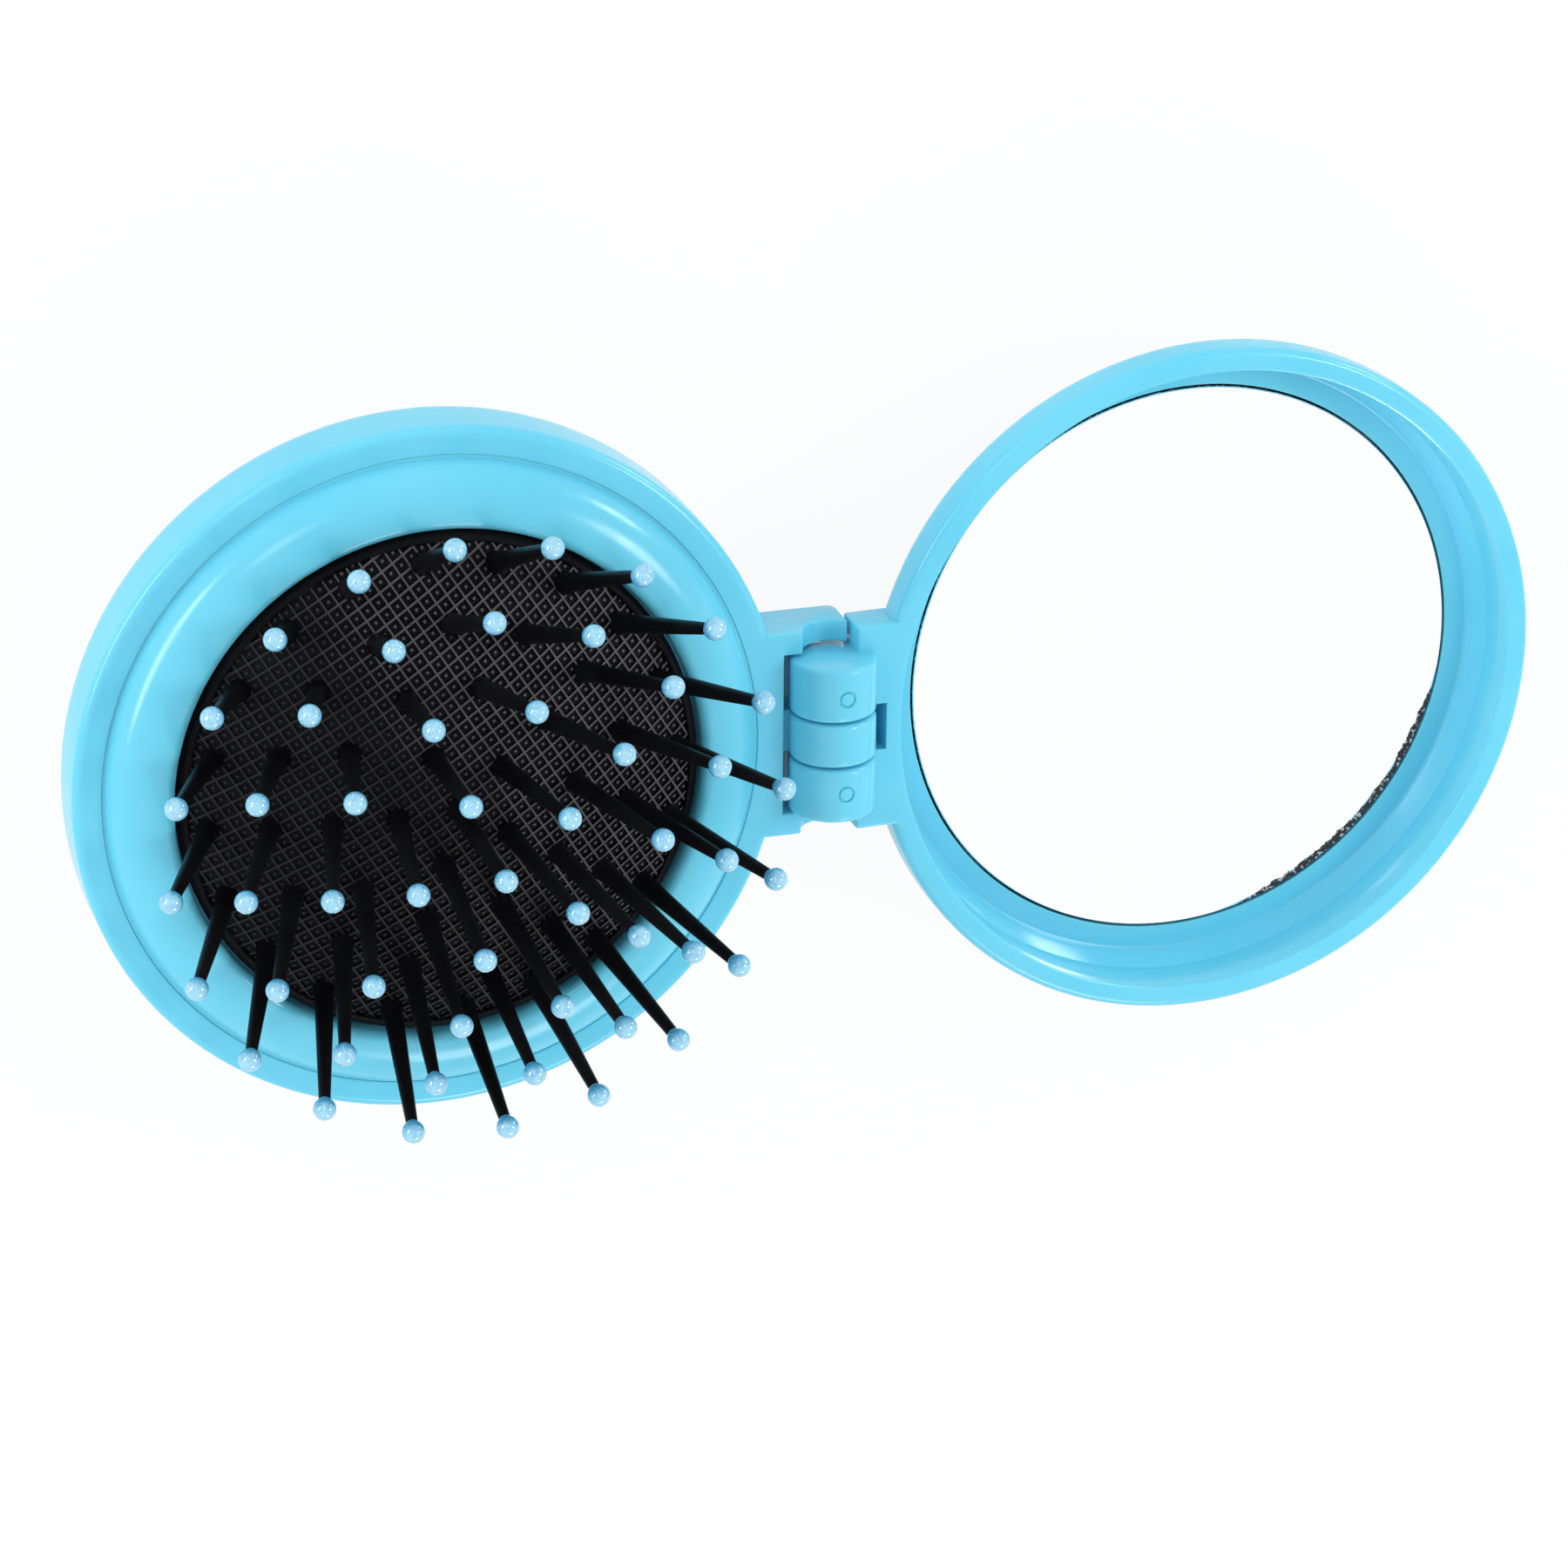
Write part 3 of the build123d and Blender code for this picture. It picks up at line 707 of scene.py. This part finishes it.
class HAIRBRUSH_OT_case(Operator):
    """Brush case: side wall, tapered back, hinge block with its wings, and middle knuckle"""

    bl_idname = "hairbrush.case"
    bl_label = "Brush Case"

    def execute(self, context):
        sizes = settings()[0]
        case = spun("brush_case", self.ring_outline(), brush_centre(), closed=True)
        added = [slab("block", self.block_outline(), -CASE_BLOCK_HALF, CASE_BLOCK_HALF, sizes.edge_round)]
        for low, high in both_sides(WING_SPAN):
            added.append(slab("wing", self.wing_outline(), low, high, sizes.edge_round))
        half, axis = MIDDLE_KNUCKLE_HALF, hinge_height()
        added.append(drum("knuckle", sizes.knuckle_radius, 0, axis, -half, half, sizes.knuckle_round))
        web = box_outline(-6 * MM, 0, axis - sizes.knuckle_radius + FACE_STEP, sizes.case_height - MM)
        added.append(slab("web", web, -half + WEB_INSET, half - WEB_INSET, WEB_ROUND))
        combine(case, added, "UNION")
        combine(case, [drum("bore", CASE_BORE_RADIUS, 0, axis, -3 * MM, 3 * MM, sides=48)], "DIFFERENCE")
        dress(case, "case", shell_material(), ["case_body"])
        return {"FINISHED"}

    def ring_outline(self):
        """Section of the turned wall, from the button hole round the outside to the bezel's seat."""
        sizes = settings()[0]
        top = sizes.case_height
        cone_top = top - sizes.case_side
        hole = sizes.button_radius + 0.4 * MM
        bore = sizes.rim_bore
        ledge = bore - 1.05 * MM
        taper = (sizes.case_radius - sizes.foot_radius) / cone_top
        step = sizes.foot_radius + taper * 4.0 * MM - 1.9 * MM
        meets = 4.0 * MM + (ledge - step) / taper
        return rounded([
            (hole, 0.2 * MM, 0), (hole + 0.2 * MM, 0, 0), (sizes.foot_radius, 0, 0.8 * MM),
            (sizes.case_radius, cone_top, 3.0 * MM), (sizes.case_radius, top, 0.8 * MM), (bore + 0.08 * MM, top, 0),
            (bore, top - 0.08 * MM, 0), (bore, top - BEZEL_SEAT, 0), (ledge, top - BEZEL_SEAT, 0), (ledge, meets, 0),
            (step, 4 * MM, 0), (24.9 * MM, 4 * MM, 0), (24.9 * MM, 1.4 * MM, 0), (hole, 1.4 * MM, 0),
        ], closed=True)

    def block_outline(self):
        """Side view of the block, whose end is hollowed round the knuckles."""
        sizes = settings()[0]
        low, top = sizes.case_height - sizes.case_side + FACE_STEP, sizes.case_height
        hollow, end, start = sizes.knuckle_radius + 0.55 * MM, -0.8 * MM, -6.6 * MM
        return [(start, low), (end, low), *self.scooped(hollow, end), (start, top)]

    def wing_outline(self):
        """Side view of a wing: rounded below, scooped out round the hinge axis above."""
        sizes = settings()[0]
        low, top, up = sizes.case_height - sizes.case_side, sizes.case_height, hinge_height()
        scoop, end, start = 2.8 * MM, 1.95 * MM, -7.35 * MM
        under = rounded([(start, low, 0), (end, low, 0.9 * MM), (end, up, 0)])[:-1]
        return [*under, *self.scooped(scoop, end), (start, top)]

    def scooped(self, radius, end):
        """Points on an arc under the hinge axis, from its end face to the top of the rim."""
        axis, steps = hinge_height(), 14
        first, last = math.asin(end / radius), -math.acos((axis - settings()[0].case_height) / radius)
        swings = [first + (last - first) * step / steps for step in range(steps + 1)]
        return [(radius * math.sin(swing), axis - radius * math.cos(swing)) for swing in swings]


class HAIRBRUSH_OT_bezel(Operator):
    """Convex ring round the brush opening"""

    bl_idname = "hairbrush.bezel"
    bl_label = "Bezel"

    def execute(self, context):
        sizes = settings()[0]
        top, outer = sizes.case_height, sizes.rim_bore - sizes.groove_gap
        curve_z, crown_z = top - 0.5 * MM, top + sizes.bezel_rise
        crown_r, wall = sizes.opening_radius + 0.9 * MM, 1.3 * MM
        width, height = outer - crown_r, crown_z - curve_z
        steps = 28
        crown, hollow = [], []
        for step in range(steps + 1):
            swing = math.pi / 2 * step / steps
            crown.append((crown_r + width * math.cos(swing), curve_z + height * math.sin(swing)))
            hollow.append((crown_r + (width - wall) * math.sin(swing), curve_z + (height - wall) * math.cos(swing)))
        edge_r = 0.9 * MM
        edge_z, edge = crown_z - edge_r, []
        for step in range(1, ARC_STEPS + 1):
            swing = math.pi / 2 * step / ARC_STEPS
            edge.append((crown_r - edge_r * math.sin(swing), edge_z + edge_r * math.cos(swing)))
        lip_z, skirt_z = edge_z - 1.25 * MM, top - BEZEL_SEAT
        lip = [(sizes.opening_radius, lip_z), (crown_r, lip_z)]
        groove = outer + 0.23 * MM
        skirt = [(outer - wall, skirt_z), (groove, skirt_z), (groove, top - 0.12 * MM)]
        bezel = spun("opening_bezel", crown[2:] + edge + lip + hollow + skirt, brush_centre(), closed=True)
        dress(bezel, "case", shell_material(), ["case_bezel"])
        return {"FINISHED"}


class HAIRBRUSH_OT_pad(Operator):
    """Push button in the back, and the finishes of the carrier and its guide"""

    bl_idname = "hairbrush.pad"
    bl_label = "Push Button and Carrier"

    def execute(self, context):
        sizes = settings()[0]
        low, radius = sizes.button_low, sizes.button_radius
        seat = 15.2 * MM
        outline = rounded([
            (0, low + 0.15 * MM, 0), (1.1 * MM, low + 0.15 * MM, 0.06 * MM), (1.3 * MM, low, 0.1 * MM),
            (radius - 3.4 * MM, low, 0.1 * MM), (radius - 3.1 * MM, low + 0.2 * MM, 0.1 * MM),
            (radius - 2.7 * MM, low + 0.2 * MM, 0.1 * MM), (radius - 2.4 * MM, low, 0.1 * MM),
            (radius, low, 0.6 * MM), (radius, seat, 0), (0, seat, 0),
        ])
        button = spun("back_button", outline, brush_centre())
        dress(button, "pad", shell_material(), ["push_button"])
        finish_node("cushion_carrier", inner_material())
        finish_node("guide_sleeve", inner_material())
        return {"FINISHED"}


class HAIRBRUSH_OT_cushion(Operator):
    """Rubber dome with a moulded waffle pattern inside a smooth border"""

    bl_idname = "hairbrush.cushion"
    bl_label = "Cushion"

    def execute(self, context):
        dome = self.dome()
        field = self.waffle()
        dome.data.materials.append(rubber_material())
        cushion = merged("waffle_cushion", [dome, field])
        dress(cushion, "pad", rubber_material(), ["cushion"])
        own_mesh(cushion)
        return {"FINISHED"}

    def dome(self):
        """Closed dome, sunk under the patterned field and smooth at its border."""
        sizes = settings()[0]
        field, outer = sizes.waffle_radius, sizes.cushion_radius
        inner = outer - 0.8 * MM
        bottom = sizes.case_height + 0.8 * MM
        steps = 24
        outline = []
        for step in range(steps + 1):
            radius = (field - 0.1 * MM) * step / steps
            outline.append((radius, dome_level(radius) - DOME_UNDER_WAFFLE))
        for step in range(steps + 1):
            swing = math.pi * step / steps
            radius = (field + outer) / 2 - (outer - field) / 2 * math.cos(swing)
            outline.append((radius, dome_level(radius) + DOME_BORDER_ROLL * math.sin(swing)))
        outline += [(outer, bottom), (inner, bottom)]
        under = [inner * (1 - step / steps) for step in range(steps + 1)]
        outline += [(radius, dome_level(radius, CUSHION_SKIN)) for radius in under]
        return spun("dome", outline, brush_centre())

    def waffle(self):
        """Slab of square pits between crossing ridges, laid over the dome, with a dot in each pit."""
        sizes = settings()[0]
        centre = brush_centre()
        across = 2 * math.ceil(sizes.waffle_radius / sizes.waffle_pitch) + 1
        deselect()
        bpy.ops.mesh.primitive_grid_add(
            x_subdivisions=across, y_subdivisions=across, size=across * sizes.waffle_pitch,
            location=centre - Vector((0, 0, WAFFLE_BASE)), rotation=(0, 0, sizes.waffle_turn),
        )
        sheet = bpy.context.object
        sheet.name = sheet.data.name = "waffle"
        bpy.ops.object.transform_apply()
        reach = sizes.waffle_radius + 0.1 * MM
        pick_faces(sheet, lambda face: (face.center - centre).length > reach + 0.8 * sizes.waffle_pitch)
        bpy.ops.mesh.delete(type="FACE")
        bpy.ops.mesh.select_all(action="SELECT")
        bpy.ops.mesh.extrude_region_move(TRANSFORM_OT_translate={"value": (0, 0, WAFFLE_BASE)})
        bpy.ops.mesh.inset(thickness=sizes.waffle_ridge / 2, use_individual=True)
        bpy.ops.mesh.inset(thickness=0.08 * MM, depth=-sizes.waffle_depth, use_individual=True)
        bpy.ops.mesh.inset(thickness=0.24 * MM, use_individual=True)
        bpy.ops.mesh.inset(thickness=0.05 * MM, depth=0.14 * MM, use_individual=True)
        bpy.ops.object.mode_set(mode="OBJECT")
        sheet.data.materials.append(rubber_material())
        sheet.data.materials.append(ridge_material())
        # Flat ridge tops take the ridge material, which carries the painted sheen.
        for face in sheet.data.polygons:
            flat = abs(face.normal.z) > 0.9
            face.material_index = 1 if flat and face.center.z > -0.6 * sizes.waffle_depth else 0
        for vertex in sheet.data.vertices:
            radius = (vertex.co.xy - centre.xy).length
            vertex.co.z += dome_level(radius)
        trim = spun("trim", [(0, 10 * MM), (reach, 10 * MM), (reach, 40 * MM), (0, 40 * MM)], centre)
        combine(sheet, [trim], "INTERSECT")
        return sheet


class HAIRBRUSH_OT_pins(Operator):
    """Tapered pins and ball tips, grouped by the body that they ride on"""

    bl_idname = "hairbrush.pins"
    bl_label = "Pins and Ball Tips"

    def execute(self, context):
        centre = Matrix.Translation(brush_centre() + Vector((0, 0, dome_level(0))))
        rows, reaches = [], []
        for number, (radius, reach, lean) in enumerate(PIN_ROWS, 1):
            count = PINS_PER_ROW_STEP * number
            rows.append([self.root(radius * MM, lean, index, count) for index in range(count)])
            reaches.append(reach * MM)
        self.group("core", reaches[0], [centre] + rows[0])
        self.group("inner", reaches[1], rows[1])
        for number in range(MIDDLE_GROUPS):
            self.group(f"middle_{number + 1:02d}", reaches[2], [rows[2][number * 3 + k - 1] for k in range(3)])
        for number in range(OUTER_GROUPS):
            self.group(f"outer_{number + 1:02d}", reaches[3], [rows[3][number * 2 + k] for k in range(2)])
        for model in [piece for piece in bpy.data.objects if piece.name.startswith("model_")]:
            bpy.data.objects.remove(model)
        return {"FINISHED"}

    def root(self, radius, lean, index, count):
        """Place of a pin's root on the dome, with Z along the pin."""
        turn = Matrix.Rotation(math.radians(FIRST_PIN_TURN + 360 / count * index), 4, "Z")
        out = Matrix.Translation((radius, 0, dome_level(radius)))
        return Matrix.Translation(brush_centre()) @ turn @ out @ Matrix.Rotation(math.radians(lean), 4, "Y")

    def group(self, name, reach, roots):
        """The pins and tips of one body."""
        family, dash, number = name.partition("_")
        for title, kind, model, slot, material in (
            ("bristles", "pins", self.pin_model(reach), "pin_nylon", pin_material()),
            ("ball_tips", "tips", self.tip_model(reach), "tip_plastic", tip_material()),
        ):
            piece = merged(f"{title}_{name}", self.copies(model, roots))
            dress(piece, name, material, [f"{family}_{kind}{dash}{number}"])

    def copies(self, model, roots):
        """A copy of the model at each root, each with its own mesh."""
        made = []
        for root in roots:
            copy = model.copy()
            copy.data = model.data.copy()
            bpy.context.collection.objects.link(copy)
            made.append(place(copy, root))
        return made

    def pin_model(self, reach):
        """Headed pin that flares a little where it leaves the rubber."""
        name = f"model_pin_{reach / MM:.2f}"
        if name in bpy.data.objects:
            return bpy.data.objects[name]
        sizes = settings()[0]
        root, end = sizes.pin_root, sizes.pin_end
        outline = rounded([
            (0, -1.75 * MM, 0), (1.2 * MM, -1.75 * MM, 0.1 * MM), (1.2 * MM, -1.25 * MM, 0.1 * MM),
            (root, -1.25 * MM, 0), (root, -0.3 * MM, 0), (root + 0.16 * MM, 0, 0), (root + 0.02 * MM, 0.5 * MM, 0),
            (root * 0.97, MM, 0), (end, reach - 0.6 * MM, 0), (0, reach - 0.6 * MM, 0),
        ])
        return spun(name, outline, steps=22)

    def tip_model(self, reach):
        """Ball whose foot draws in round the pin."""
        name = f"model_tip_{reach / MM:.2f}"
        if name in bpy.data.objects:
            return bpy.data.objects[name]
        sizes = settings()[0]
        ball, neck = sizes.tip_radius, sizes.pin_end + 0.05 * MM
        foot = math.asin(neck / ball)
        steps = 14
        low = reach - ball * math.cos(foot) - 0.1 * MM
        outline = [(0, low), (neck, low)]
        for step in range(steps + 1):
            swing = foot + (math.pi - foot) * step / steps
            outline.append((ball * math.sin(swing) if step < steps else 0.0, reach - ball * math.cos(swing)))
        model = spun(name, outline, steps=24)
        # Height on the ball, from about -1 at its foot to 1 at its top, which the tip material uses to paint a
        # highlight on the top and shade on the sides.
        level = model.data.attributes.new(TIP_PAINTED_LIGHT, "FLOAT", "POINT")
        for vertex in model.data.vertices:
            level.data[vertex.index].value = (vertex.co.z - reach) / ball
        return model


class HAIRBRUSH_OT_lid(Operator):
    """Mirror lid: rim, wall, ledge, hinge block and the two outer knuckles"""

    bl_idname = "hairbrush.lid"
    bl_label = "Mirror Lid"

    def execute(self, context):
        sizes = settings()[0]
        lid = spun("mirror_lid", self.dish_outline())
        axis_x, axis_z = sizes.hinge_offset, sizes.hinge_rise - sizes.rim_gap
        block_end, depth, edge = axis_x - 2.35 * MM, 4.2 * MM, sizes.edge_round
        block, cheek = box_outline(30.8 * MM, block_end, 0, depth), box_outline(29.9 * MM, block_end, 0, depth)
        added = [slab("block", block, -LID_BLOCK_HALF, LID_BLOCK_HALF, edge)]
        for low, high in both_sides(CHEEK_SPAN):
            added.append(slab("cheek", cheek, low, high, edge))
        web = box_outline(32 * MM, axis_x, FACE_STEP, axis_z + sizes.knuckle_radius - FACE_STEP)
        for low, high in both_sides(OUTER_KNUCKLE_SPAN):
            added.append(drum("knuckle", sizes.knuckle_radius, axis_x, axis_z, low, high, sizes.knuckle_round))
            added.append(slab("web", web, low + WEB_INSET, high - WEB_INSET, WEB_ROUND))
        combine(lid, added, "UNION")
        half = KNUCKLE_ROOM_HALF
        slot = slab("slot", box_outline(axis_x - 5.15 * MM, axis_x, -8 * MM, 3.4 * MM), -half, half, 0)
        room = drum("room", sizes.knuckle_radius + 0.2 * MM, axis_x, axis_z, -half, half)
        bore = drum("bore", LID_BORE_RADIUS, axis_x, axis_z, -8 * MM, LID_BORE_END, sides=48)
        marks = [self.mark(axis_x, y, axis_z - sizes.knuckle_radius) for y in (MARK_PLACE, -MARK_PLACE)]
        combine(lid, [slot, room, bore, *marks], "DIFFERENCE")
        place(lid, lid_opened())
        dress(lid, "lid", shell_material(), ["lid_shell"])
        return {"FINISHED"}

    def dish_outline(self):
        """Section of the turned dish, from the middle of its back round the rim to the mirror's seat."""
        sizes = settings()[0]
        back, bore, floor = sizes.lid_height, sizes.lid_bore, sizes.mirror_depth
        seat, seat_floor = sizes.mirror_radius + 0.2 * MM, floor + 1.8 * MM
        return rounded([
            (0, back, 0), (sizes.lid_back_radius, back, 1.5 * MM), (sizes.case_radius, sizes.lid_side, 2.5 * MM),
            (sizes.case_radius, 0, 0.7 * MM), (bore + 0.2 * MM, 0, 0), (bore + 0.06 * MM, 0.06 * MM, 0),
            (bore, 0.2 * MM, 0), (bore, 4.75 * MM, 0.5 * MM), (sizes.ledge_radius, floor, 0.5 * MM),
            (seat, floor, 0.08 * MM), (seat, seat_floor, 0), (0, seat_floor, 0),
        ])

    def mark(self, x, y, top):
        """Ring-shaped cutter for the mark on a knuckle."""
        floor = top + 0.22 * MM
        outline = [(0.52 * MM, top - MM), (0.85 * MM, top - MM), (0.80 * MM, floor), (0.57 * MM, floor)]
        return spun("mark", outline, Vector((x, y, 0)), closed=True, steps=48)


class HAIRBRUSH_OT_mirror(Operator):
    """Round mirror with a chipped raw edge, its adhesive pad and the hinge pin"""

    bl_idname = "hairbrush.mirror"
    bl_label = "Mirror"

    def execute(self, context):
        sizes, colours = settings()[:2]
        radius, face = sizes.mirror_radius, sizes.mirror_depth
        outline = rounded([
            (0, face, 0), (radius - 0.12 * MM, face, 0), (radius, face + 0.12 * MM, 0),
            (radius, face + 1.6 * MM, 0), (0, face + 1.6 * MM, 0),
        ])
        glass = spun("mirror_disc", outline)
        place(glass, lid_opened())
        dress(glass, "lid", mirror_material(), ["mirror"])
        foam = moulded_material("pale_foam", colours.foam, colours.foam, (0.8, 0.95), 0.0, 0.9)
        steel = moulded_material("hinge_steel", colours.steel, colours.steel, (0.22, 0.4), 0.2, 0.3, Metallic=1.0)
        finish_node("mirror_adhesive", foam)
        finish_node("hinge_pin", steel)
        return {"FINISHED"}


# ---- Stage ----


def glow_material(name, level, glow):
    """Matt white that mostly shows as plain white, so that shadows stay soft."""
    material, tree, shader = new_material(name)
    tone = mix(tree, noise(tree, object_place(tree), 3.0), rgba((level,) * 3), rgba((level * 0.985,) * 3))
    fitted(tree, shader, Base_Color=tone, Roughness=0.9, Specular_IOR_Level=0.0)
    light = fitted(tree, "ShaderNodeEmission", Color=rgba((1.0, 1.0, 1.0)), Strength=1.0)
    blend = fitted(tree, "ShaderNodeMixShader", Fac=calc(tree, "MULTIPLY", seen_white(tree), glow))
    feed(tree, blend.inputs[1], shader.outputs["BSDF"])
    feed(tree, blend.inputs[2], light.outputs["Emission"])
    fitted(tree, tree.nodes["Material Output"], Surface=blend.outputs["Shader"])
    return material


class HAIRBRUSH_OT_stage(Operator):
    """White floor, soft lamps and the camera"""

    bl_idname = "hairbrush.stage"
    bl_label = "Studio"

    def execute(self, context):
        studio = settings()[2]
        self.floor(studio)
        self.sky(studio)
        self.lamp("key_lamp", (-0.30, 0.45, 0.65), 0.18, studio.key)
        self.lamp("low_lamp", (-0.66, 0.22, 0.25), 0.55, studio.fill, height=0.14)
        self.lamp("streak_lamp", (0.58, 0.14, 0.66), 0.24, studio.streak)
        self.lamp("side_lamp", (0.70, 0.46, 0.16), 0.20, studio.side)
        self.lamp("front_lamp", (0.16, -0.52, 0.44), 0.24, studio.front)
        self.camera()
        return {"FINISHED"}

    def floor(self, studio):
        deselect()
        bpy.ops.mesh.primitive_circle_add(vertices=96, radius=6.0, fill_type="NGON", location=(0, 0, -0.0002))
        floor = bpy.context.object
        floor.name = floor.data.name = "studio_floor"
        bpy.ops.object.transform_apply()
        floor.data.materials.append(glow_material("floor_white", 0.9, studio.floor_glow))

    def sky(self, studio):
        """Even white light; what is seen or mirrored of it is plain white."""
        world = bpy.data.worlds.new("studio_sky")
        bpy.context.scene.world = world
        world.use_nodes = True
        tree = world.node_tree
        strength = remap(tree, seen_white(tree), 0.0, 1.0, studio.sky)
        fitted(tree, tree.nodes["Background"], Color=rgba((1.0, 1.0, 1.0)), Strength=strength)

    def lamp(self, name, spot, size, power, height=None):
        """A soft lamp aimed at the object, round or, with a height, a long oval."""
        data = bpy.data.lights.new(name, "AREA")
        data.shape = "ELLIPSE"
        data.size, data.size_y = size, height or size
        data.energy = power
        lamp = bpy.data.objects.new(name, data)
        bpy.context.collection.objects.link(lamp)
        lamp.location = spot
        lamp.rotation_mode = "QUATERNION"
        lamp.rotation_quaternion = (Vector(spot) - Vector((0, 0, 0.01))).to_track_quat("Z", "Y")

    def camera(self):
        """The camera above the brush's outer side, rolled so that the lid runs up to the right."""
        data = bpy.data.cameras.new("camera")
        data.sensor_width = 36.0
        data.lens = 135.857
        data.clip_start, data.clip_end = 0.01, 20.0
        camera = bpy.data.objects.new("camera", data)
        bpy.context.collection.objects.link(camera)
        right = Vector((0.954208, 0.008661, 0.299018))
        up = Vector((0.108046, 0.922125, -0.371499))
        back = right.cross(up).normalized()
        turn = Matrix((right, up, back)).transposed().to_4x4()
        camera.matrix_world = Matrix.Translation((-0.153929, 0.202544, 0.487492)) @ turn
        bpy.context.scene.camera = camera


class HAIRBRUSH_PT_panel(Panel):
    """Sizes, colours and steps of the hairbrush"""

    bl_label = "Folding Hairbrush"
    bl_space_type = "VIEW_3D"
    bl_region_type = "UI"
    bl_category = "Hairbrush"

    def draw(self, context):
        for operator in OPERATORS:
            self.layout.operator(operator.bl_idname)
        for group in settings():
            column = self.layout.column(align=True)
            for name in type(group).__annotations__:
                column.prop(group, name)


OPERATORS = (
    HAIRBRUSH_OT_stage,
    HAIRBRUSH_OT_case,
    HAIRBRUSH_OT_bezel,
    HAIRBRUSH_OT_pad,
    HAIRBRUSH_OT_cushion,
    HAIRBRUSH_OT_pins,
    HAIRBRUSH_OT_lid,
    HAIRBRUSH_OT_mirror,
)
CLASSES = (HairbrushSizes, HairbrushColours, HairbrushStudio, *OPERATORS, HAIRBRUSH_PT_panel)


def register():
    for each in CLASSES:
        bpy.utils.register_class(each)
    bpy.types.Scene.hairbrush_sizes = PointerProperty(type=HairbrushSizes)
    bpy.types.Scene.hairbrush_colours = PointerProperty(type=HairbrushColours)
    bpy.types.Scene.hairbrush_studio = PointerProperty(type=HairbrushStudio)


def unregister():
    del bpy.types.Scene.hairbrush_sizes
    del bpy.types.Scene.hairbrush_colours
    del bpy.types.Scene.hairbrush_studio
    for each in reversed(CLASSES):
        bpy.utils.unregister_class(each)


def main():
    register()
    bpy.context.scene.view_settings.view_transform = "Standard"
    for operator in OPERATORS:
        family, _, name = operator.bl_idname.partition(".")
        getattr(getattr(bpy.ops, family), name)()


if __name__ == "__main__":
    main()
